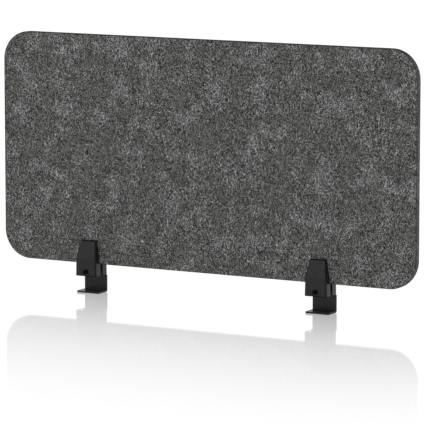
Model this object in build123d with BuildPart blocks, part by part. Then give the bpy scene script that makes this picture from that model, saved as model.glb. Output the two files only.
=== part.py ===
from build123d import *
from math import atan2, tan
import os

# Desk privacy panel: a felt board held upright by two steel clamps that slide over a desk edge.
# Each clamp has two folded jaws that pinch the board, one screw that closes them, and a bracket
# whose foot goes under the desk top and whose tongue slides up inside the rear jaw.
#
# Millimetres. +X runs along the panel, +Y from its front to its back, +Z up.
# The origin is under the middle of the panel, in its mid-plane, level with the undersides of the feet.

# Felt panel
panel_width = 800.0
panel_height = 400.0
panel_thickness = 12.0
panel_corner_radius = 50.0
panel_edge_round = 0.8

# Clamps
left_clamp_x = -227.5               # the clamps' middles; both slide along the panel, so they needn't match
right_clamp_x = 220.5
desk_opening = 27.5                 # thinnest desk top that the clamp takes
desk_travel = 15.0                  # how far the bracket slides down for a thicker desk top

# Jaws, folded from sheet
jaw_steel = 2.5
jaw_height = 62.7
jaw_bend_height = 31.3              # above this height a jaw leans in to the panel
jaw_base_width = 41.5
jaw_bend_width = 40.4
jaw_top_width = 30.5
jaw_base_reach = 14.0               # from the panel's face to the jaw's outer face, at its base
jaw_top_reach = 5.0                 # the same at its top
jaw_drop = 21.0                     # how far the jaws hang below the panel
jaw_gap = 7.0                       # between the two jaws' flanges, under the panel
fold_radius = 1.0                   # inside radius of the side folds
bend_radius = 5.0                   # inside radius of the bend
taper_radius = 20.0                 # where the flanges start to close in
jaw_edge_round = 0.4
panel_gap = 0.3                     # jaw to panel, all round

# Grip pads, inside the jaws' tips
pad_height = 16.0
pad_side_gap = 1.2                  # from each flange
pad_setback = 1.2                   # below the jaw's top
pad_edge_round = 0.6

# Desk bracket, folded from thicker sheet
bracket_steel = 3.0
bracket_width = 44.5
bracket_depth = 30.5
bracket_bend_radius = 1.0           # inside radius between foot and stem
foot_corner_radius = 2.0
bracket_edge_round = 0.4
tongue_clearance = 0.4              # each side, inside the rear jaw
stem_clearance = 0.3                # stem to the rear jaw's plate, and shoulders to its base
slot_clearance = 0.5                # each side of the screw
tongue_top_margin = 5.0             # above the slot
tongue_corner_radius = 4.0

# Clamping screw: 5 mm, low head with a hexagon socket
screw_radius = 2.5
screw_head_radius = 4.25
screw_head_height = 3.5
screw_socket_size = 3.0             # across the flats
screw_socket_depth = 2.0
screw_rim_chamfer = 0.4
screw_tip_chamfer = 0.6
screw_tip_setback = 0.5             # short of the nut's face
screw_height = 7.5                  # above the jaws' base
screw_clearance = 0.25              # in the front jaw and in the sleeve
thread_clearance = 0.05

# Spacer sleeve on the screw, from the front jaw to the bracket's tongue
sleeve_radius = 6.0
sleeve_end_chamfer = 0.5
sleeve_gap = 0.3                    # to the tongue

# Press-in nut in the rear jaw
nut_radius = 4.75
nut_height = 3.5
nut_shank_radius = 3.2
nut_rim_chamfer = 0.5

# Heights and depths that follow from the sizes above
jaw_base_z = bracket_steel + desk_opening
jaw_bend_z = jaw_base_z + jaw_bend_height
jaw_top_z = jaw_base_z + jaw_height
panel_base_z = jaw_base_z + jaw_drop
ledge_z = panel_base_z - panel_gap
screw_z = jaw_base_z + screw_height
panel_face_y = panel_thickness / 2
flange_edge_y = panel_face_y + panel_gap
jaw_base_y = panel_face_y + jaw_base_reach
jaw_top_y = panel_face_y + jaw_top_reach
plate_inside_y = jaw_base_y - jaw_steel
stem_back_y = plate_inside_y - stem_clearance
stem_front_y = stem_back_y - bracket_steel
foot_front_y = stem_back_y - bracket_depth

# The leaning part of a jaw's plate, and where its inside face begins
lean = atan2(jaw_base_y - jaw_top_y, jaw_top_z - jaw_bend_z)
inside_bend_z = jaw_bend_z - jaw_steel * tan(lean / 2)
taper = (jaw_bend_width - jaw_top_width) / (jaw_top_z - jaw_bend_z)
flare = (jaw_base_width - jaw_bend_width) / jaw_bend_height


def inside_y(z):
    # distance from the mid-plane to a jaw's inside face, at a height above the bend
    return plate_inside_y - (z - inside_bend_z) * tan(lean)


def jaw_width(z):
    # a jaw's outside width, at a height above the bend
    return jaw_bend_width - (z - jaw_bend_z) * taper


def side_points(side, pairs):
    # side is -1 in front of the panel and 1 behind it; each pair is a distance from it and a height
    return [(side * distance, height) for distance, height in pairs]


def front_points(x, base_width, bend_width, top_width, low_z, high_z):
    # the tapered front view of a jaw, or of its hollow, about the clamp's middle
    right = [(x + base_width / 2, low_z), (x + bend_width / 2, jaw_bend_z), (x + top_width / 2, high_z)]
    left = [(2 * x - point_x, point_z) for point_x, point_z in reversed(right)]
    return right + left


def fold_edges(builder, side):
    # the upright edges between a jaw's plate and its side flanges
    nearest = (inside_y(jaw_top_z) + flange_edge_y) / 2
    upright = builder.edges().filter_by(lambda edge: abs((edge @ 1 - edge @ 0).Z) > 0.7 * edge.length)
    return upright.filter_by(lambda edge: side * edge.center().Y > nearest)


def at_bend(vertices, z):
    # the corners of a view where the jaw starts to lean or to narrow
    return vertices.filter_by(lambda vertex: abs(vertex.Y - z) < jaw_steel / 4)


def jaw_hollow(x, side):
    # the space inside a jaw, run past the jaw's base, top and panel side so that they stay open
    spill = 5.0
    low_z = jaw_base_z - spill
    high_z = jaw_top_z + spill
    profile = side_points(side, [
        (-spill, low_z),
        (plate_inside_y, low_z),
        (plate_inside_y, inside_bend_z),
        (inside_y(high_z), high_z),
        (-spill, high_z),
    ])
    walls = 2 * jaw_steel
    base_width = jaw_base_width + flare * spill - walls
    front = front_points(x, base_width, jaw_bend_width - walls, jaw_width(high_z) - walls, low_z, high_z)
    with BuildPart() as hollow:
        with BuildSketch(Plane.YZ.offset(x)) as side_view:
            with BuildLine():
                Polyline(*profile, close=True)
            make_face()
            fillet(at_bend(side_view.vertices(), inside_bend_z), radius=bend_radius)
        extrude(amount=jaw_base_width, both=True)
        with BuildSketch(Plane.XZ) as front_view:
            with BuildLine():
                Polyline(*front, close=True)
            make_face()
            fillet(at_bend(front_view.vertices(), jaw_bend_z), radius=taper_radius)
        extrude(amount=2 * jaw_base_y, both=True, mode=Mode.INTERSECT)
        fillet(fold_edges(hollow, side), radius=fold_radius)
    return hollow.part


def make_jaw(x, side, hole_radius):
    # plate and two side flanges; below the panel the flanges reach further in, as ledges under it
    profile = side_points(side, [
        (jaw_gap / 2, jaw_base_z),
        (jaw_base_y, jaw_base_z),
        (jaw_base_y, jaw_bend_z),
        (jaw_top_y, jaw_top_z),
        (flange_edge_y, jaw_top_z),
        (flange_edge_y, ledge_z),
        (jaw_gap / 2, ledge_z),
    ])
    front = front_points(x, jaw_base_width, jaw_bend_width, jaw_top_width, jaw_base_z, jaw_top_z)
    hollow = jaw_hollow(x, side)
    with BuildPart() as jaw:
        with BuildSketch(Plane.YZ.offset(x)) as side_view:
            with BuildLine():
                Polyline(*profile, close=True)
            make_face()
            fillet(at_bend(side_view.vertices(), jaw_bend_z), radius=bend_radius + jaw_steel)
        extrude(amount=jaw_base_width, both=True)
        with BuildSketch(Plane.XZ) as front_view:
            with BuildLine():
                Polyline(*front, close=True)
            make_face()
            fillet(at_bend(front_view.vertices(), jaw_bend_z), radius=taper_radius)
        extrude(amount=2 * jaw_base_y, both=True, mode=Mode.INTERSECT)
        fillet(fold_edges(jaw, side), radius=fold_radius + jaw_steel)
        add(hollow, mode=Mode.SUBTRACT)
        with Locations(Plane(origin=(x, side * jaw_base_y, screw_z), z_dir=(0, side, 0))):
            Hole(hole_radius, depth=jaw_steel)
        fillet(jaw.edges(), radius=jaw_edge_round)
    return jaw.part


def make_grip_pad(x, side):
    # a wedge between the leaning plate's tip and the panel's face
    top_z = jaw_top_z - pad_setback
    base_z = top_z - pad_height
    profile = side_points(side, [
        (flange_edge_y, base_z),
        (inside_y(base_z), base_z),
        (inside_y(top_z), top_z),
        (flange_edge_y, top_z),
    ])
    room = 2 * (jaw_steel + pad_side_gap)
    base_half = (jaw_width(base_z) - room) / 2
    top_half = (jaw_width(top_z) - room) / 2
    with BuildPart() as pad:
        with BuildSketch(Plane.YZ.offset(x)):
            with BuildLine():
                Polyline(*profile, close=True)
            make_face()
        extrude(amount=jaw_base_width, both=True)
        with BuildSketch(Plane.XZ):
            with BuildLine():
                Polyline(
                    (x - base_half, base_z),
                    (x + base_half, base_z),
                    (x + top_half, top_z),
                    (x - top_half, top_z),
                    close=True,
                )
            make_face()
        extrude(amount=2 * jaw_base_y, both=True, mode=Mode.INTERSECT)
        fillet(pad.edges(), radius=pad_edge_round)
    return pad.part


def make_bracket(x):
    # an L of foot and stem, with a narrower tongue above it that goes up inside the rear jaw
    tongue_base_z = jaw_base_z - stem_clearance
    slot_radius = screw_radius + slot_clearance
    slot_base_z = screw_z - slot_radius - slot_clearance
    slot_top_z = screw_z + desk_travel + slot_radius + slot_clearance
    tongue_top_z = slot_top_z + tongue_top_margin
    tongue_width = jaw_bend_width - 2 * (jaw_steel + tongue_clearance)
    with BuildPart() as bracket:
        with BuildSketch(Plane.YZ.offset(x)):
            with BuildLine():
                Polyline(
                    (foot_front_y, 0),
                    (stem_back_y, 0),
                    (stem_back_y, tongue_base_z),
                    (stem_front_y, tongue_base_z),
                    (stem_front_y, bracket_steel),
                    (foot_front_y, bracket_steel),
                    close=True,
                )
            profile = make_face()
            outer_corner = profile.vertices().group_by(Axis.Y)[0].sort_by(Axis.X)[-1]
            inner_corner = profile.vertices().group_by(Axis.Y)[1].sort_by(Axis.X)[-1]
            fillet(outer_corner, radius=bracket_bend_radius + bracket_steel)
            fillet(inner_corner, radius=bracket_bend_radius)
        extrude(amount=bracket_width / 2, both=True)
        front_corners = bracket.edges().filter_by(Axis.Z).group_by(Axis.Y)[0]
        fillet(front_corners, radius=foot_corner_radius)
        with BuildSketch(Plane.XZ.offset(-stem_back_y)) as tongue:
            with Locations((x, (tongue_base_z + tongue_top_z) / 2)):
                Rectangle(tongue_width, tongue_top_z - tongue_base_z)
            fillet(tongue.vertices().group_by(Axis.Y)[-1], radius=tongue_corner_radius)
            with Locations((x, (slot_base_z + slot_top_z) / 2)):
                SlotOverall(slot_top_z - slot_base_z, 2 * slot_radius, rotation=90, mode=Mode.SUBTRACT)
        extrude(amount=bracket_steel)
        fillet(bracket.edges(), radius=bracket_edge_round)
    return bracket.part


def make_screw(x):
    # head in front of the front jaw, tip inside the rear jaw's nut
    head_face_y = -jaw_base_y - screw_head_height
    tip_y = jaw_base_y + nut_height - screw_tip_setback
    with BuildPart() as screw:
        with BuildSketch(Plane.XZ.offset(jaw_base_y)):
            with Locations((x, screw_z)):
                Circle(screw_head_radius)
        extrude(amount=screw_head_height)
        chamfer(screw.edges().group_by(Axis.Y)[0], length=screw_rim_chamfer)
        with BuildSketch(Plane.XZ.offset(-head_face_y)):
            with Locations((x, screw_z)):
                RegularPolygon(screw_socket_size / 2, side_count=6, major_radius=False)
        extrude(amount=-screw_socket_depth, mode=Mode.SUBTRACT)
        with BuildSketch(Plane.XZ.offset(jaw_base_y)):
            with Locations((x, screw_z)):
                Circle(screw_radius)
        extrude(amount=-(tip_y + jaw_base_y))
        chamfer(screw.edges().group_by(Axis.Y)[-1], length=screw_tip_chamfer)
    return screw.part


def make_sleeve(x):
    # a tube on the screw that carries its force to the tongue and keeps the panel from being crushed
    front_y = -plate_inside_y
    back_y = stem_front_y - sleeve_gap
    with BuildPart() as sleeve:
        with BuildSketch(Plane.XZ.offset(-front_y)):
            with Locations((x, screw_z)):
                Circle(sleeve_radius)
                Circle(screw_radius + screw_clearance, mode=Mode.SUBTRACT)
        extrude(amount=front_y - back_y)
        rims = sleeve.edges().filter_by(GeomType.CIRCLE)
        rims = rims.filter_by(lambda edge: abs(edge.radius - sleeve_radius) < sleeve_end_chamfer)
        chamfer(rims, length=sleeve_end_chamfer)
    return sleeve.part


def make_nut(x):
    # a round threaded body behind the rear jaw, with a shank pressed into the jaw's hole
    with BuildPart() as nut:
        with BuildSketch(Plane.XZ.offset(-jaw_base_y)):
            with Locations((x, screw_z)):
                Circle(nut_radius)
        extrude(amount=-nut_height)
        chamfer(nut.edges().group_by(Axis.Y)[-1], length=nut_rim_chamfer)
        with BuildSketch(Plane.XZ.offset(-plate_inside_y)):
            with Locations((x, screw_z)):
                Circle(nut_shank_radius)
        extrude(amount=-jaw_steel)
        with BuildSketch(Plane.XZ.offset(-plate_inside_y)):
            with Locations((x, screw_z)):
                Circle(screw_radius + thread_clearance)
        extrude(amount=-(jaw_steel + nut_height), mode=Mode.SUBTRACT)
    return nut.part


with BuildPart() as felt_panel:
    with BuildSketch(Plane.XZ.offset(-panel_thickness / 2)):
        with Locations((0, panel_base_z + panel_height / 2)):
            RectangleRounded(panel_width, panel_height, panel_corner_radius)
    extrude(amount=panel_thickness)
    fillet(felt_panel.edges().filter_by(Axis.Y, reverse=True), radius=panel_edge_round)

pieces = {"felt_panel": felt_panel.part}
for clamp, clamp_x in {"left": left_clamp_x, "right": right_clamp_x}.items():
    pieces[clamp + "_front_jaw"] = make_jaw(clamp_x, -1, screw_radius + screw_clearance)
    pieces[clamp + "_rear_jaw"] = make_jaw(clamp_x, 1, nut_shank_radius)
    pieces[clamp + "_front_grip_pad"] = make_grip_pad(clamp_x, -1)
    pieces[clamp + "_rear_grip_pad"] = make_grip_pad(clamp_x, 1)
    pieces[clamp + "_desk_bracket"] = make_bracket(clamp_x)
    pieces[clamp + "_clamp_screw"] = make_screw(clamp_x)
    pieces[clamp + "_spacer_sleeve"] = make_sleeve(clamp_x)
    pieces[clamp + "_press_in_nut"] = make_nut(clamp_x)

os.makedirs("parts", exist_ok=True)
for name, piece in pieces.items():
    piece.label = name
    export_step(piece, "parts/" + name + ".step")
    print(name, round(piece.volume, 1))
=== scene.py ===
import bmesh
import bpy
import math
import random
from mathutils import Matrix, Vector, noise


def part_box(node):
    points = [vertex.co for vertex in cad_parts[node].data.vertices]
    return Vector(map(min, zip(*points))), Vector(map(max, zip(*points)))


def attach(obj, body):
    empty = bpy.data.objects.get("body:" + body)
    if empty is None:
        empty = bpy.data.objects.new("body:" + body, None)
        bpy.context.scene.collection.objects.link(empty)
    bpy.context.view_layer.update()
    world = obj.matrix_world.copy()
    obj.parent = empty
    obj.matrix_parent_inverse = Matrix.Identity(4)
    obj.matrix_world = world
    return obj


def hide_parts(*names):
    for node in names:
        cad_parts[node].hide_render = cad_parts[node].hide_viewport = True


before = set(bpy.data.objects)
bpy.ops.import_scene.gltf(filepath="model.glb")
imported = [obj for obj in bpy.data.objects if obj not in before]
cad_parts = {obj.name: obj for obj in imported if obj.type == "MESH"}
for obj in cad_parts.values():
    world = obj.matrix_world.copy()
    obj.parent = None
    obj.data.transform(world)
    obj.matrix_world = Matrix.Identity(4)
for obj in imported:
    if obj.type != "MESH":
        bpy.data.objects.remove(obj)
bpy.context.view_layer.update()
clamps = ("left", "right")
mm = 0.001  # everything below is in metres
print("frame loaded")


# small node helpers
def addNode(tree, kind, inputs=None, **settings):
    node = tree.nodes.new(kind)
    for name, value in settings.items():
        setattr(node, name, value)
    for name, value in (inputs or {}).items():
        if isinstance(value, bpy.types.NodeSocket):
            tree.links.new(value, node.inputs[name])
        else:
            node.inputs[name].default_value = value
    return node


def doMath(tree, operation, first, second=0.0):
    return addNode(tree, "ShaderNodeMath", {0: first, 1: second}, operation=operation).outputs[0]


def remap(tree, value, fromLow, fromHigh, toLow=0.0, toHigh=1.0, smooth=True):
    node = addNode(tree, "ShaderNodeMapRange", {"Value": value, "From Min": fromLow, "From Max": fromHigh,
                                                "To Min": toLow, "To Max": toHigh})
    node.interpolation_type = "SMOOTHSTEP" if smooth else "LINEAR"
    return node.outputs["Result"]


def mixColour(tree, factor, first, second):
    return addNode(tree, "ShaderNodeMix", {0: factor, 6: first, 7: second}, data_type="RGBA").outputs[2]


def mixValue(tree, factor, first, second):
    return addNode(tree, "ShaderNodeMix", {0: factor, 2: first, 3: second}, data_type="FLOAT").outputs[0]


def splitVector(tree, vector):
    return addNode(tree, "ShaderNodeSeparateXYZ", {0: vector}).outputs


def newGroup(name, inputs, outputs):
    tree = bpy.data.node_groups.new(name, "ShaderNodeTree")
    for label, kind, value in inputs:
        socket = tree.interface.new_socket(label, in_out="INPUT", socket_type="NodeSocket" + kind)
        if value is not None:
            socket.default_value = value
    for label, kind in outputs:
        tree.interface.new_socket(label, in_out="OUTPUT", socket_type="NodeSocket" + kind)
    return tree, tree.nodes.new("NodeGroupInput").outputs, tree.nodes.new("NodeGroupOutput").inputs


def useGroup(tree, group, inputs):
    node = addNode(tree, "ShaderNodeGroup", node_tree=group)
    for name, value in inputs.items():
        if isinstance(value, bpy.types.NodeSocket):
            tree.links.new(value, node.inputs[name])
        else:
            node.inputs[name].default_value = value
    return node.outputs


# shared effects
def makeFibreGroup():
    # thin streaks that all run roughly one way; several at different angles make a felt
    tree, given, out = newGroup("fibreStreaks", [
        ("Vector", "Vector", None), ("Angle", "Float", 0.0), ("Length", "Float", 14.0),
        ("Width", "Float", 1.0), ("Level", "Float", 0.6), ("Softness", "Float", 0.1), ("Seed", "Float", 0.0),
    ], [("Mask", "Float")])
    turned = addNode(tree, "ShaderNodeVectorRotate", {"Vector": given["Vector"], "Axis": (0, 1, 0),
                                                      "Angle": given["Angle"]}, rotation_type="AXIS_ANGLE")
    stretch = addNode(tree, "ShaderNodeCombineXYZ", {"X": given["Length"], "Y": given["Width"],
                                                     "Z": given["Width"]})
    squeezed = addNode(tree, "ShaderNodeVectorMath", {0: turned.outputs[0], 1: stretch.outputs[0]},
                       operation="DIVIDE")
    moved = addNode(tree, "ShaderNodeVectorMath", {0: squeezed.outputs[0], 1: given["Seed"]}, operation="ADD")
    streaks = addNode(tree, "ShaderNodeTexNoise", {"Vector": moved.outputs[0], "Scale": 1.0, "Detail": 1.0})
    top = doMath(tree, "ADD", given["Level"], given["Softness"])
    mask = remap(tree, streaks.outputs["Fac"], given["Level"], top)
    tree.links.new(mask, out["Mask"])
    return tree


def makeGrainGroup():
    # fine pebbling of a sprayed or moulded surface, with slow drifts of tone
    tree, given, out = newGroup("surfaceGrain", [
        ("Vector", "Vector", None), ("Grain", "Float", 0.5), ("Drift", "Float", 12.0),
    ], [("Tone", "Float"), ("Height", "Float"), ("Smudge", "Float")])
    inverse = doMath(tree, "DIVIDE", 1.0, given["Grain"])
    fine = addNode(tree, "ShaderNodeTexNoise", {"Vector": given["Vector"], "Scale": inverse, "Detail": 2.0})
    cells = addNode(tree, "ShaderNodeTexVoronoi", {"Vector": given["Vector"], "Scale": inverse},
                    feature="SMOOTH_F1")
    height = doMath(tree, "MULTIPLY_ADD", cells.outputs["Distance"], 0.4)
    tree.links.new(fine.outputs["Fac"], height.node.inputs[2])
    slow = doMath(tree, "DIVIDE", 1.0, given["Drift"])
    drift = addNode(tree, "ShaderNodeTexNoise", {"Vector": given["Vector"], "Scale": slow, "Detail": 5.0,
                                                 "Roughness": 0.6})
    smudge = addNode(tree, "ShaderNodeTexNoise", {"Vector": given["Vector"], "Scale": slow, "Detail": 8.0,
                                                  "Distortion": 1.5})
    tree.links.new(drift.outputs["Fac"], out["Tone"])
    tree.links.new(height, out["Height"])
    tree.links.new(remap(tree, smudge.outputs["Fac"], 0.35, 0.7), out["Smudge"])
    return tree


fibreGroup = makeFibreGroup()
grainGroup = makeGrainGroup()


def newMaterial(name):
    material = bpy.data.materials.new(name)
    material.use_nodes = True
    tree = material.node_tree
    shader = tree.nodes["Principled BSDF"]
    where = addNode(tree, "ShaderNodeTexCoord").outputs["Object"]
    inMm = addNode(tree, "ShaderNodeVectorMath", {0: where, "Scale": 1 / mm}, operation="SCALE")
    return material, tree, shader, inMm.outputs[0]


def addBump(tree, shader, strength, distance, height):
    bump = addNode(tree, "ShaderNodeBump", {"Strength": strength, "Distance": distance, "Height": height})
    tree.links.new(bump.outputs[0], shader.inputs["Normal"])


# felt; sizes are in mm, and the two numbers of a range are where it starts and ends
felt = {
    "dark": (0.022, 0.022, 0.0213, 1),
    "mid": (0.098, 0.097, 0.0930, 1),
    "pale": (0.61, 0.61, 0.596, 1),
    # near-black: the dark flecks, and the painted shade on the cut edge
    "fleckAndShade": (0.008, 0.008, 0.008, 1),
    "olive": (0.130, 0.129, 0.108, 1),
    "blueGrey": (0.150, 0.151, 0.166, 1),
    "grain": 0.62,                # mottles to a mm
    "patch": 0.024,               # patches to a mm
    "patchInGround": 0.28,        # how much a thick patch lightens the ground
    "ground": (0.46, 0.83),
    "thin": (0.50, 0.36),         # the patches that turn olive
    "thick": (0.52, 0.66),        # the patches that turn blue-grey
    "tint": 0.35,
    "wander": 0.07,               # bends to a mm
    "curl": 9.0,
    "paleStreaks": {"layers": 7, "length": 11.0, "width": 0.92, "level": 0.672, "softness": 0.05,
                    "seed": 3.7},
    "darkStreaks": {"layers": 4, "length": 3.5, "width": 0.88, "level": 0.60, "softness": 0.05,
                    "seed": 61.3},
    "fineStreaks": {"layers": 3, "length": 3.0, "width": 0.75, "level": 0.50, "softness": 0.12,
                    "seed": 17.9},
    "fineFull": 2.0,
    "fineGain": (0.02, 3.1),      # the ground's brightness between the fine fibres and on them
    "darkCover": 0.9,
    "paleFrom": (0.36, 0.64),     # the pale fibres' cover follows the patches
    "paleCover": (0.45, 0.95),
    "rimFrom": (0.75, 1.0),
    "layerScale": (0.12, 1.6, 0.12),
    "layerFrom": (0.4, 0.65),
    "layerDark": 0.35,
    # darker corners of the cut edge: partly the pressed felt, partly painted shade
    "cornerPressAndShade": 0.62,
    "cornerWidth": 1.3,
    "cornerFull": 0.4,
    "topShadeFacing": (0.3, 0.9),        # painted shade on the cut edge's top: by how far the surface faces up
    "topShadeDepth": 0.95,
    "rough": (0.97, 0.86),
    "sheen": 0.05,
    "sheenRough": 0.5,
    "shine": 0.1,
    "paleLift": 0.8,
    "bump": 0.35,
    "bumpDepth": 0.4 * mm,
}


def layStreaks(tree, vector, style, combine="MAXIMUM"):
    # the same streaks at several angles, closer together about the upright
    total = None
    for index in range(style["layers"]):
        share = (index + 0.5) / style["layers"] * 2 - 1
        lean = share * abs(share) * math.pi / 2
        mask = useGroup(tree, fibreGroup, {
            "Vector": vector, "Angle": math.pi / 2 + lean, "Length": style["length"],
            "Width": style["width"], "Level": style["level"], "Softness": style["softness"],
            "Seed": style["seed"] * (index + 1)})["Mask"]
        total = mask if total is None else doMath(tree, combine, total, mask)
    return total


def bendVector(tree, vector):
    # pushes the pattern about a little, so that long fibres curl
    wander = addNode(tree, "ShaderNodeTexNoise", {"Vector": vector, "Scale": felt["wander"], "Detail": 1.0})
    centred = addNode(tree, "ShaderNodeVectorMath", {0: wander.outputs["Color"], 1: (0.5, 0.5, 0.5)},
                      operation="SUBTRACT")
    push = addNode(tree, "ShaderNodeVectorMath", {0: centred.outputs[0], "Scale": felt["curl"]},
                   operation="SCALE")
    return addNode(tree, "ShaderNodeVectorMath", {0: vector, 1: push.outputs[0]}, operation="ADD").outputs[0]


def cutEdgeAndShadeMask(tree, mmVector):
    # the cut edge shows the layers that the board was pressed from; it is darker at its corners, from the
    # pressing and from painted shade, and painted shade darkens it on top
    rim = addNode(tree, "ShaderNodeAttribute", attribute_name="rim").outputs["Fac"]
    edge = remap(tree, rim, *felt["rimFrom"])
    stack = addNode(tree, "ShaderNodeVectorMath", {0: mmVector, 1: felt["layerScale"]}, operation="MULTIPLY")
    layers = addNode(tree, "ShaderNodeTexNoise", {"Vector": stack.outputs[0], "Scale": 1.0, "Detail": 3.0,
                                                  "Roughness": 0.7}).outputs["Fac"]
    layered = doMath(tree, "MULTIPLY", edge, remap(tree, layers, *felt["layerFrom"], 0.0, felt["layerDark"]))

    # near the faces the cut edge's corners are darker: partly the pressed felt, partly painted shade
    low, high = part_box("felt_panel")
    half = (high.y - low.y) / 2 / mm
    depth = doMath(tree, "SUBTRACT", splitVector(tree, mmVector)["Y"], (low.y + high.y) / 2 / mm)
    nearFace = remap(tree, doMath(tree, "ABSOLUTE", depth), half - felt["cornerWidth"],
                     half - felt["cornerFull"], 0.0, felt["cornerPressAndShade"])
    corner = doMath(tree, "MULTIPLY", edge, nearFace)

    # painted shade: the cut edge is darker where it faces up
    facing = addNode(tree, "ShaderNodeTexCoord").outputs["Normal"]
    facingUpShade = remap(tree, splitVector(tree, facing)["Z"], *felt["topShadeFacing"], 0.0, felt["topShadeDepth"])
    paintedTopShade = doMath(tree, "MULTIPLY", edge, facingUpShade)
    return doMath(tree, "MAXIMUM", doMath(tree, "MAXIMUM", layered, corner), paintedTopShade)


def makeFelt():
    material, tree, shader, mmVector = newMaterial("felt")
    bent = bendVector(tree, mmVector)

    # the ground: a fine mottle, darker and more olive in thin patches, bluer and lighter in thick ones
    mottle = addNode(tree, "ShaderNodeTexNoise", {"Vector": mmVector, "Scale": felt["grain"], "Detail": 2.0,
                                                  "Roughness": 0.8})
    patch = addNode(tree, "ShaderNodeTexNoise", {"Vector": mmVector, "Scale": felt["patch"], "Detail": 3.0,
                                                 "Roughness": 0.55}).outputs["Fac"]
    shaded = doMath(tree, "MULTIPLY_ADD", patch, felt["patchInGround"])
    tree.links.new(mottle.outputs["Fac"], shaded.node.inputs[2])
    colour = mixColour(tree, remap(tree, shaded, *felt["ground"], smooth=False), felt["dark"], felt["mid"])
    colour = mixColour(tree, remap(tree, patch, *felt["thin"], 0.0, felt["tint"]), colour, felt["olive"])
    colour = mixColour(tree, remap(tree, patch, *felt["thick"], 0.0, felt["tint"]), colour, felt["blueGrey"])

    # fibres: fine ones all over, dark ones between them, long pale ones on top
    fine = layStreaks(tree, bent, felt["fineStreaks"], "ADD")
    fine = remap(tree, fine, 0.0, felt["fineFull"], *felt["fineGain"], smooth=False)
    colour = addNode(tree, "ShaderNodeVectorMath", {0: colour, "Scale": fine}, operation="SCALE").outputs[0]
    dark = layStreaks(tree, bent, felt["darkStreaks"])
    colour = mixColour(tree, doMath(tree, "MULTIPLY", dark, felt["darkCover"]), colour, felt["fleckAndShade"])
    pale = layStreaks(tree, bent, felt["paleStreaks"])
    cover = remap(tree, patch, *felt["paleFrom"], *felt["paleCover"])
    colour = mixColour(tree, doMath(tree, "MULTIPLY", pale, cover), colour, felt["pale"])

    # the cut edge in the near-black colour: its real layers, plus painted shade on top and at the corners
    colour = mixColour(tree, cutEdgeAndShadeMask(tree, mmVector), colour, felt["fleckAndShade"])
    tree.links.new(colour, shader.inputs["Base Color"])
    rough = remap(tree, pale, 0.0, 1.0, *felt["rough"], smooth=False)
    tree.links.new(rough, shader.inputs["Roughness"])
    shader.inputs["Sheen Weight"].default_value = felt["sheen"]
    shader.inputs["Sheen Roughness"].default_value = felt["sheenRough"]
    shader.inputs["Specular IOR Level"].default_value = felt["shine"]
    height = doMath(tree, "MULTIPLY_ADD", pale, felt["paleLift"])
    tree.links.new(doMath(tree, "SUBTRACT", fine, dark), height.node.inputs[2])
    addBump(tree, shader, felt["bump"], felt["bumpDepth"], height)
    return material


# powder coat on the jaws and brackets, black oxide on the screws, sleeves and nuts; grain and drift are in mm
coatings = {
    "powderCoat": {"base": (0.0085, 0.0085, 0.0088, 1), "other": (0.0125, 0.0125, 0.013, 1),
                   "toneFrom": (0.35, 0.7), "grain": 0.55, "drift": 14.0, "rough": (0.24, 0.34),
                   "shine": 0.28, "bump": 0.10, "bumpDepth": 0.05 * mm},
    "blackOxide": {"base": (0.0015, 0.0015, 0.0016, 1), "other": (0.0045, 0.0042, 0.004, 1),
                   "toneFrom": (0.45, 0.75), "grain": 0.2, "drift": 3.0, "rough": (0.38, 0.55),
                   "shine": 0.07, "bump": 0.12, "bumpDepth": 0.03 * mm},
}


def makeCoating(name):
    style = coatings[name]
    material, tree, shader, mmVector = newMaterial(name)
    grain = useGroup(tree, grainGroup, {"Vector": mmVector, "Grain": style["grain"],
                                        "Drift": style["drift"]})
    tone = remap(tree, grain["Tone"], *style["toneFrom"])
    colour = mixColour(tree, tone, style["base"], style["other"])
    tree.links.new(colour, shader.inputs["Base Color"])
    rough = remap(tree, grain["Smudge"], 0.0, 1.0, *style["rough"], smooth=False)
    tree.links.new(rough, shader.inputs["Roughness"])
    shader.inputs["Specular IOR Level"].default_value = style["shine"]
    addBump(tree, shader, style["bump"], style["bumpDepth"], grain["Height"])
    return material, tree, shader, mmVector, colour


# the outline that the jaws' plates are cut to, and a painted shade line along it that stands in for the shade
# and dark reflection at the plates' edges, in mm
jawOutline = {"bendHeight": 31.3, "bendWidth": 40.4, "topWidth": 30.5, "sideBorder": 2.6, "topBorder": 2.6,
              "baseBorder": 1.6, "blur": 0.8, "sideShare": 0.6, "facing": (0.15, 0.4), "margin": 0.2,
              "colour": (0.0035, 0.0035, 0.0036, 1), "strength": 0.8}


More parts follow.
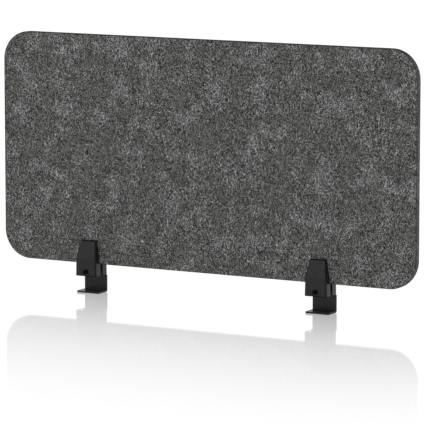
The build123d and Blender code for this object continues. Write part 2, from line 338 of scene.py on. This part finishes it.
def jawEdgeShade(tree, mmVector):
    # the painted shade line runs up the sides and along the top and base of both plates; the brackets have
    # none
    low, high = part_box("left_front_jaw")
    place = splitVector(tree, mmVector)
    across = None
    for clamp in clamps:
        jawLow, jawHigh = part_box(clamp + "_front_jaw")
        middle = (jawLow.x + jawHigh.x) / 2 / mm
        off = doMath(tree, "ABSOLUTE", doMath(tree, "SUBTRACT", place["X"], middle))
        across = off if across is None else doMath(tree, "MINIMUM", across, off)
    base, top = low.z / mm, high.z / mm
    bend = base + jawOutline["bendHeight"]
    halfBase = (high.x - low.x) / 2 / mm
    halfBend, halfTop = jawOutline["bendWidth"] / 2, jawOutline["topWidth"] / 2
    lower = remap(tree, place["Z"], base, bend, halfBase, halfBend, smooth=False)
    upper = remap(tree, place["Z"], bend, top, 0.0, halfBend - halfTop, smooth=False)
    toSide = doMath(tree, "SUBTRACT", doMath(tree, "SUBTRACT", lower, upper), across)
    blur = jawOutline["blur"]
    sideEdge = jawOutline["sideBorder"]
    topEdge = top - jawOutline["topBorder"]
    baseEdge = base + jawOutline["baseBorder"]
    side = remap(tree, toSide, sideEdge, sideEdge - blur, 0.0, jawOutline["sideShare"])
    tip = remap(tree, place["Z"], topEdge, topEdge + blur)
    foot = remap(tree, place["Z"], baseEdge, baseEdge - blur)
    edgeShade = doMath(tree, "MAXIMUM", doMath(tree, "MAXIMUM", side, tip), foot)
    facing = addNode(tree, "ShaderNodeTexCoord").outputs["Normal"]
    outward = doMath(tree, "ABSOLUTE", splitVector(tree, facing)["Y"])
    edgeShade = doMath(tree, "MULTIPLY", edgeShade, remap(tree, outward, *jawOutline["facing"]))
    onJaw = doMath(tree, "GREATER_THAN", place["Z"], base - jawOutline["margin"])
    return doMath(tree, "MULTIPLY", edgeShade, onJaw)


def makePowder():
    material, tree, shader, mmVector, colour = makeCoating("powderCoat")
    # painted shade along the jaw plates' edges: the line darkens the coat and, as metallic with a near-black
    # colour, also takes away its reflection
    edgeShade = doMath(tree, "MULTIPLY", jawEdgeShade(tree, mmVector), jawOutline["strength"])
    tree.links.new(mixColour(tree, edgeShade, colour, jawOutline["colour"]), shader.inputs["Base Color"])
    tree.links.new(edgeShade, shader.inputs["Metallic"])
    return material


# rubber on the grip pads; grain and drift are in mm
rubber = {"base": (0.011, 0.011, 0.011, 1), "dusty": (0.030, 0.029, 0.028, 1), "grain": 0.35, "drift": 5.0,
          "dustFrom": 0.3, "dust": 0.6, "roughFrom": (0.3, 0.7), "rough": (0.6, 0.82), "bump": 0.25,
          "bumpDepth": 0.05 * mm}


def makeRubber():
    material, tree, shader, mmVector = newMaterial("padRubber")
    grain = useGroup(tree, grainGroup, {"Vector": mmVector, "Grain": rubber["grain"],
                                        "Drift": rubber["drift"]})
    dust = remap(tree, grain["Smudge"], rubber["dustFrom"], 1.0, 0.0, rubber["dust"])
    tree.links.new(mixColour(tree, dust, rubber["base"], rubber["dusty"]), shader.inputs["Base Color"])
    rough = remap(tree, grain["Tone"], *rubber["roughFrom"], *rubber["rough"], smooth=False)
    tree.links.new(rough, shader.inputs["Roughness"])
    addBump(tree, shader, rubber["bump"], rubber["bumpDepth"], grain["Height"])
    return material


# loose fibres on the felt
looseFibre = {"pale": (0.42, 0.42, 0.41, 1), "dark": (0.03, 0.03, 0.03, 1), "step": 0.06,
              "paleFrom": (0.44, 0.56), "roughFrom": (0.3, 0.7), "rough": (0.6, 0.9), "shine": 0.2,
              "perFace": 1100, "shortest": 5 * mm, "longest": 16 * mm, "radius": 0.045 * mm,
              "lift": 0.16 * mm, "lean": 0.8, "turn": 0.5, "joints": 6, "sides": 3, "margin": 4 * mm,
              "seed": 41}


def makeFibreMaterial():
    material, tree, shader, mmVector = newMaterial("looseFibre")
    tone = addNode(tree, "ShaderNodeTexNoise", {"Vector": mmVector, "Scale": looseFibre["step"],
                                                "Detail": 6.0, "Roughness": 0.8}).outputs["Fac"]
    pick = remap(tree, tone, *looseFibre["paleFrom"])
    colour = mixColour(tree, pick, looseFibre["dark"], looseFibre["pale"])
    tree.links.new(colour, shader.inputs["Base Color"])
    rough = remap(tree, tone, *looseFibre["roughFrom"], *looseFibre["rough"])
    tree.links.new(rough, shader.inputs["Roughness"])
    shader.inputs["Specular IOR Level"].default_value = looseFibre["shine"]
    return material


feltMaterial = makeFelt()
fibreMaterial = makeFibreMaterial()
powderMaterial = makePowder()
oxideMaterial = makeCoating("blackOxide")[0]
rubberMaterial = makeRubber()
print("materials made")


def newPiece(name, vertices, faces, material, smooth=True):
    mesh = bpy.data.meshes.new(name)
    mesh.from_pydata(vertices, [], faces)
    mesh.update()
    if smooth:
        mesh.shade_smooth()
    piece = bpy.data.objects.new(name, mesh)
    bpy.context.scene.collection.objects.link(piece)
    mesh.materials.append(material)
    return piece


def paintNode(name, material):
    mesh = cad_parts[name].data
    mesh.materials.clear()
    mesh.materials.append(material)


# the felt board
board = {"cell": 5 * mm, "corner": 50 * mm, "edge": 0.8 * mm, "edgeRings": 3, "edgeAngle": 50,
         "edgeMargin": 1.2, "faceMargin": 0.05 * mm, "waves": 0.16 * mm, "waveLength": 22 * mm,
         "waveDimming": 0.6, "waveShrink": 2.1, "waveLayers": 3}


def roundCorner(x, z, halfX, halfZ):
    # bends a square grid's corners into quarter circles and leaves the rest as it is
    radius = board["corner"]
    u = max(abs(x) - (halfX - radius), 0) / radius
    v = max(abs(z) - (halfZ - radius), 0) / radius
    if u and v:
        x = math.copysign(halfX - radius + radius * u * math.sqrt(1 - v * v / 2), x)
        z = math.copysign(halfZ - radius + radius * v * math.sqrt(1 - u * u / 2), z)
    return x, z


def makeBoard():
    low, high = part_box("felt_panel")
    middle = (low + high) / 2
    halfX, halfY, halfZ = (high - low) / 2
    columns = round(2 * halfX / board["cell"])
    rows = round(2 * halfZ / board["cell"])
    vertices = []
    for row in range(rows + 1):
        for column in range(columns + 1):
            x, z = halfX * (2 * column / columns - 1), halfZ * (2 * row / rows - 1)
            x, z = roundCorner(x, z, halfX, halfZ)
            vertices.append((middle.x + x, low.y, middle.z + z))
    faces = []
    for row in range(rows):
        for column in range(columns):
            corner = row * (columns + 1) + column
            faces.append((corner, corner + 1, corner + columns + 2, corner + columns + 1))
    piece = newPiece("feltBoard", vertices, faces, feltMaterial)
    solid = piece.modifiers.new("thickness", "SOLIDIFY")
    solid.thickness = 2 * halfY
    solid.offset = -1
    bevel = piece.modifiers.new("cutEdge", "BEVEL")
    bevel.width = board["edge"]
    bevel.segments = board["edgeRings"]
    bevel.limit_method = "ANGLE"
    bevel.angle_limit = math.radians(board["edgeAngle"])
    applyModifiers(piece)

    mesh = piece.data
    rim = mesh.attributes.new("rim", "FLOAT", "POINT")
    faceDepth = halfY - board["faceMargin"]
    edgeWidth = board["edge"] * board["edgeMargin"]
    for vertex in mesh.vertices:
        away = abs(vertex.co.y - middle.y)
        onFace = away > faceDepth and insideBy(vertex.co - middle, halfX, halfZ) > edgeWidth
        rim.data[vertex.index].value = 0.0 if onFace else 1.0
        if onFace:
            wave = noise.fractal(vertex.co / board["waveLength"], board["waveDimming"], board["waveShrink"],
                                 board["waveLayers"])
            vertex.co.y += math.copysign(board["waves"] * (0.5 + 0.5 * wave), middle.y - vertex.co.y)
    mesh.update()
    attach(piece, "panel")
    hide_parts("felt_panel")


def insideBy(offset, halfX, halfZ):
    # how far a point of the face lies inside the board's rounded outline
    radius = board["corner"]
    x = abs(offset.x) - (halfX - radius)
    z = abs(offset.z) - (halfZ - radius)
    if x > 0 and z > 0:
        return radius - math.hypot(x, z)
    return radius - max(x, z)


def applyModifiers(piece):
    graph = bpy.context.evaluated_depsgraph_get()
    mesh = bpy.data.meshes.new_from_object(piece.evaluated_get(graph))
    piece.modifiers.clear()
    old = piece.data
    piece.data = mesh
    bpy.data.meshes.remove(old)
    mesh.name = piece.name
    mesh.shade_smooth()


def makeLooseFibres():
    # short curly fibres lying on both faces, thin three-sided threads with closed ends
    low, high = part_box("felt_panel")
    middle = (low + high) / 2
    halfX, halfY, halfZ = (high - low) / 2
    chance = random.Random(looseFibre["seed"])
    joints = looseFibre["joints"]
    vertices = []
    faces = []
    for side in (-1, 1):
        made = 0
        while made < looseFibre["perFace"]:
            x = chance.uniform(-halfX, halfX)
            z = chance.uniform(-halfZ, halfZ)
            heading = chance.gauss(math.pi / 2, looseFibre["lean"])
            turn = chance.uniform(-looseFibre["turn"], looseFibre["turn"])
            step = chance.uniform(looseFibre["shortest"], looseFibre["longest"]) / joints
            thread = []
            for joint in range(joints + 1):
                arch = math.sin(math.pi * joint / joints) * looseFibre["lift"]
                thread.append(Vector((x, side * (halfY + arch - looseFibre["radius"]), z)))
                x += step * math.cos(heading)
                z += step * math.sin(heading)
                heading += turn
            if min(insideBy(point, halfX, halfZ) for point in thread) < looseFibre["margin"]:
                continue
            addThread(vertices, faces, [point + middle for point in thread], side)
            made += 1
    piece = newPiece("looseFibres", vertices, faces, fibreMaterial)
    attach(piece, "panel")


def addThread(vertices, faces, points, side):
    first = len(vertices)
    out = Vector((0, side, 0))
    sides = looseFibre["sides"]
    for index, point in enumerate(points):
        along = points[min(index + 1, len(points) - 1)] - points[max(index - 1, 0)]
        across = along.normalized().cross(out).normalized()
        for corner in range(sides):
            angle = 2 * math.pi * corner / sides
            away = math.cos(angle) * across + math.sin(angle) * out
            vertices.append(point + looseFibre["radius"] * away)
    for index in range(len(points) - 1):
        for corner in range(sides):
            here = first + sides * index + corner
            beside = first + sides * index + (corner + 1) % sides
            faces.append((here, here + sides, beside + sides, beside))
    last = first + sides * (len(points) - 1)
    faces.append(tuple(range(first, first + sides)))
    faces.append(tuple(reversed(range(last, last + sides))))


makeBoard()
makeLooseFibres()
print("felt board made")


# the steel, pads, sleeves and nuts keep their CAD shape
clampFinishes = {
    "front_jaw": powderMaterial, "rear_jaw": powderMaterial, "desk_bracket": powderMaterial,
    "front_grip_pad": rubberMaterial, "rear_grip_pad": rubberMaterial,
    "spacer_sleeve": oxideMaterial, "press_in_nut": oxideMaterial,
}
for clamp in clamps:
    for nodeName, finish in clampFinishes.items():
        paintNode(clamp + "_" + nodeName, finish)
print("clamps finished")


# socket-head screws, head to the front
screw = {"headHeight": 3.5 * mm, "shank": 2.5 * mm, "core": 2.06 * mm, "pitch": 0.8 * mm,
         "threadLength": 24 * mm, "crest": 1.35, "flank": 3.1, "tipDepth": 0.35, "tipTurns": 1.5,
         "tipChamfer": 0.6 * mm, "around": 72, "stepsPerPitch": 6, "teeth": 36, "toothDepth": 0.11 * mm,
         "headRound": 0.45 * mm, "roundSteps": 4, "socketAcross": 3.0 * mm, "socketDepth": 2.0 * mm,
         "socketChamfer": 0.25 * mm, "socketPoint": 1.15, "neck": 0.3 * mm, "crisp": 35}


def hexReach(angle, across):
    # distance from a hexagon's middle to its side, in this direction
    return across / 2 / math.cos((angle + math.pi / 6) % (math.pi / 3) - math.pi / 6)


def threadReach(along, angle):
    # crests and roots are flat; the thread grows in from the tip and runs out towards the head
    share = (along / screw["pitch"] + angle / (2 * math.pi)) % 1.0
    rise = min(1.0, max(0.0, screw["crest"] - screw["flank"] * abs(share - 0.5)))
    runOut = min(1.0, max(0.0, (screw["threadLength"] - along) / screw["pitch"]))
    grown = min(1.0, screw["tipDepth"] + along / (screw["tipTurns"] * screw["pitch"]))
    reach = screw["core"] + (screw["shank"] - screw["core"]) * rise * grown
    return reach * runOut + screw["shank"] * (1 - runOut)


def screwRings(tipY, faceY, headRadius):
    # (y, reach by angle) for each ring of the surface, from the tip to the bottom of the socket
    rings = []

    def addRing(y, reach):
        rings.append((y, reach if callable(reach) else lambda angle: reach))

    tipRadius = screw["core"] - screw["tipChamfer"]
    addRing(tipY, tipRadius)
    steps = round(screw["threadLength"] / screw["pitch"] * screw["stepsPerPitch"])
    for index in range(steps + 1):
        along = index / steps * screw["threadLength"]
        addRing(tipY - along, lambda angle, along=along: min(tipRadius + along, threadReach(along, angle)))

    under = faceY + screw["headHeight"]
    addRing(under + screw["neck"], screw["shank"])
    addRing(under, screw["shank"] + screw["neck"])
    addRing(under, headRadius - screw["neck"])

    def toothed(angle):
        return headRadius - screw["toothDepth"] * (0.5 - 0.5 * math.cos(angle * screw["teeth"]))

    addRing(under - screw["neck"] / 2, headRadius - screw["toothDepth"])
    addRing(under - screw["neck"], toothed)
    addRing(faceY + 2 * screw["headRound"], toothed)
    for step in range(screw["roundSteps"] + 1):
        turn = step / screw["roundSteps"] * math.pi / 2
        addRing(faceY + screw["headRound"] * (1 - math.sin(turn)),
                headRadius - screw["toothDepth"] - screw["headRound"] * (1 - math.cos(turn)))

    socket = screw["socketAcross"]
    addRing(faceY, socket / 2 / math.cos(math.pi / 6) + screw["socketChamfer"])
    addRing(faceY + screw["socketChamfer"], lambda angle: hexReach(angle, socket))
    addRing(faceY + screw["socketDepth"], lambda angle: hexReach(angle, socket))
    addRing(faceY + screw["socketDepth"], lambda angle: hexReach(angle, socket / 2))
    return rings


def makeScrew(clamp):
    low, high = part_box(clamp + "_clamp_screw")
    middle = (low + high) / 2
    rings = screwRings(high.y, low.y, (high.x - low.x) / 2)
    around = screw["around"]
    vertices = [(middle.x, high.y, middle.z)]
    for y, reach in rings:
        for index in range(around):
            angle = 2 * math.pi * index / around
            radius = reach(angle)
            vertices.append((middle.x + radius * math.cos(angle), y, middle.z + radius * math.sin(angle)))
    vertices.append((middle.x, low.y + screw["socketDepth"] * screw["socketPoint"], middle.z))
    faces = [(0, 1 + (index + 1) % around, 1 + index) for index in range(around)]
    for ring in range(len(rings) - 1):
        for index in range(around):
            here = 1 + ring * around + index
            beside = 1 + ring * around + (index + 1) % around
            faces.append((here, beside, beside + around, here + around))
    start = 1 + (len(rings) - 1) * around
    for index in range(around):
        faces.append((start + index, start + (index + 1) % around, len(vertices) - 1))
    piece = newPiece(clamp + "ClampScrew", vertices, faces, oxideMaterial)
    sharpen(piece, screw["crisp"])
    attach(piece, clamp + "_screw")
    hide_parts(clamp + "_clamp_screw")


def sharpen(piece, degrees):
    # edges that turn more than this stay crisp under smooth shading
    work = bmesh.new()
    work.from_mesh(piece.data)
    bmesh.ops.recalc_face_normals(work, faces=work.faces)
    for edge in work.edges:
        edge.smooth = not (edge.is_manifold and edge.calc_face_angle(0) > math.radians(degrees))
    work.to_mesh(piece.data)
    work.free()


for clamp in clamps:
    makeScrew(clamp)
print("screws made")


# floor and light
studio = {
    "floorSize": 60.0,
    "floorGap": 0.2 * mm,         # the object stands this far above the floor
    "floorColour": (0.95, 0.95, 0.95, 1),
    "floorGloss": 0.08,
    "backdrop": 1.03,
    "mirror": 0.58,               # how much the floor mirrors right under the panel
    "mirrorReach": 1.4,           # in metres
    "mirrorFade": 3.0,
    "mirrorBlur": 0.05,
    # the world's sides: how strong each is, and the parts of a unit vector where it starts and is full
    "front": 1.15,
    "above": 0.75,
    "side": 0.08,
    "behind": 0.45,
    "frontFrom": (-0.25, -0.70),
    "behindFrom": (0.30, 0.85),
    "aboveFrom": (0.45, 0.80),
    "horizonFrom": (0.30, 0.16),
    "topPower": 40.0,
    "topSize": 3.0,
    "topHeight": 3.0,
}


def makeFloor():
    # a white floor whose polish is strongest under the panel and fades out around it; the object itself
    # sees a plain one, so that the floor's shine doesn't brighten it, and from below the floor is clear
    half = studio["floorSize"] / 2
    under = -studio["floorGap"]
    material, tree, shader, _ = newMaterial("floor")
    shader.inputs["Base Color"].default_value = studio["floorColour"]
    shader.inputs["Roughness"].default_value = studio["floorGloss"]
    place = splitVector(tree, addNode(tree, "ShaderNodeTexCoord").outputs["Object"])
    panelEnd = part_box("felt_panel")[1].x
    beside = doMath(tree, "SUBTRACT", doMath(tree, "ABSOLUTE", place["X"]), panelEnd)
    beside = doMath(tree, "MAXIMUM", beside, 0.0)
    flat = addNode(tree, "ShaderNodeCombineXYZ", {"X": beside, "Y": place["Y"]}).outputs[0]
    away = addNode(tree, "ShaderNodeVectorMath", {0: flat}, operation="LENGTH").outputs["Value"]
    left = remap(tree, away, 0.0, studio["mirrorReach"], 1.0, 0.0, smooth=False)
    polish = doMath(tree, "MULTIPLY", doMath(tree, "POWER", left, studio["mirrorFade"]), studio["mirror"])
    glow = addNode(tree, "ShaderNodeEmission", {"Strength": studio["backdrop"]})
    mirror = addNode(tree, "ShaderNodeBsdfGlossy", {"Color": (1, 1, 1, 1), "Roughness": studio["mirrorBlur"]})
    seen = addNode(tree, "ShaderNodeMixShader", {0: polish, 1: glow.outputs[0], 2: mirror.outputs[0]})
    path = addNode(tree, "ShaderNodeLightPath")
    above = addNode(tree, "ShaderNodeMixShader", {0: path.outputs["Is Camera Ray"], 1: shader.outputs[0],
                                                  2: seen.outputs[0]})
    clear = addNode(tree, "ShaderNodeBsdfTransparent")
    sides = addNode(tree, "ShaderNodeNewGeometry")
    surface = addNode(tree, "ShaderNodeMixShader", {0: sides.outputs["Backfacing"], 1: above.outputs[0],
                                                    2: clear.outputs[0]})
    tree.links.new(surface.outputs[0], tree.nodes["Material Output"].inputs["Surface"])
    corners = [(-half, -half, under), (half, -half, under), (half, half, under), (-half, half, under)]
    floor = newPiece("floor", corners, [(0, 1, 2, 3)], material, smooth=False)


def makeTopLight():
    lamp = bpy.data.lights.new("topLight", "AREA")
    lamp.shape = "RECTANGLE"
    lamp.size, lamp.size_y = studio["topSize"], studio["topSize"]
    lamp.energy = studio["topPower"]
    light = bpy.data.objects.new("topLight", lamp)
    light.location = (0, 0, studio["topHeight"])
    bpy.context.scene.collection.objects.link(light)


def makeWorld():
    # a white backdrop; what lights the object is a tall soft front, a weaker back and dark sides
    world = bpy.data.worlds.new("studio")
    world.use_nodes = True
    tree = world.node_tree
    towards = splitVector(tree, addNode(tree, "ShaderNodeTexCoord").outputs["Generated"])
    front = remap(tree, towards["Y"], *studio["frontFrom"], studio["side"], studio["front"])
    behind = remap(tree, towards["Y"], *studio["behindFrom"], 0.0, studio["behind"])
    horizon = remap(tree, towards["Z"], *studio["horizonFrom"])
    strength = mixValue(tree, horizon, doMath(tree, "ADD", front, behind), studio["backdrop"])
    strength = mixValue(tree, remap(tree, towards["Z"], *studio["aboveFrom"]), strength, studio["above"])
    path = addNode(tree, "ShaderNodeLightPath")
    seen = mixValue(tree, path.outputs["Is Camera Ray"], strength, studio["backdrop"])
    background = tree.nodes["Background"]
    background.inputs["Color"].default_value = (1, 1, 1, 1)
    tree.links.new(seen, background.inputs["Strength"])
    bpy.context.scene.world = world


# the camera, in degrees, metres and mm of lens
view = {"azimuth": 28.81, "elevation": 8.02, "distance": 5.588, "lens": 278.05, "sensor": 36.0,
        "farthest": 200.0, "target": (0.0168, -0.006, 0.1575)}


def makeCamera():
    azimuth = math.radians(view["azimuth"])
    elevation = math.radians(view["elevation"])
    towards = Vector((math.sin(azimuth) * math.cos(elevation), -math.cos(azimuth) * math.cos(elevation),
                      math.sin(elevation)))
    lens = bpy.data.cameras.new("camera")
    lens.lens = view["lens"]
    lens.sensor_width = view["sensor"]
    lens.clip_end = view["farthest"]
    camera = bpy.data.objects.new("camera", lens)
    camera.location = Vector(view["target"]) + towards * view["distance"]
    camera.rotation_euler = (-towards).to_track_quat("-Z", "Y").to_euler()
    bpy.context.scene.collection.objects.link(camera)
    bpy.context.scene.camera = camera


makeFloor()
makeWorld()
makeTopLight()
makeCamera()
bpy.context.scene.view_settings.view_transform = "Standard"
print("studio made")
